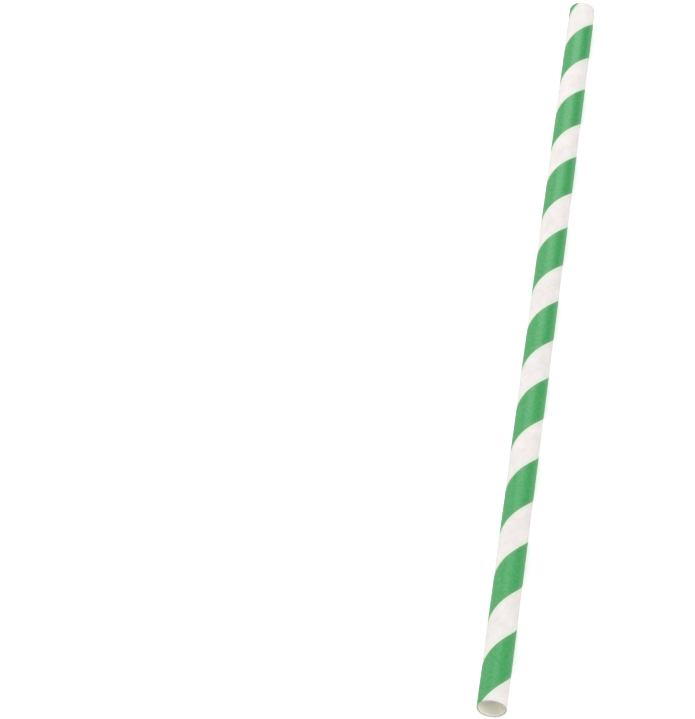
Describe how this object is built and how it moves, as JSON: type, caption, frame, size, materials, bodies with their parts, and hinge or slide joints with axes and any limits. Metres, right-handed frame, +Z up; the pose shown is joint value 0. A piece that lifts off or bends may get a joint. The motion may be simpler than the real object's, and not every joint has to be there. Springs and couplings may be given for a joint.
{
  "type": "paper drinking straw",
  "caption": "Spiral-wound paper drinking straw: a rigid open tube with one helical printed stripe, for sipping cold drinks.",
  "frame": {"origin": "middle of the line that the straw lies on, halfway along it", "axes": "+X along the straw, +Y across it, +Z up; the straw's axis is 2.96 mm above the origin"},
  "size_m": [0.197, 0.006, 0.006],
  "materials": {
    "striped_paper": "matte bleached white paper with one green printed stripe"
  },
  "bodies": {
    "root": {"paper_tube": "striped_paper"}
  },
  "joints": []
}
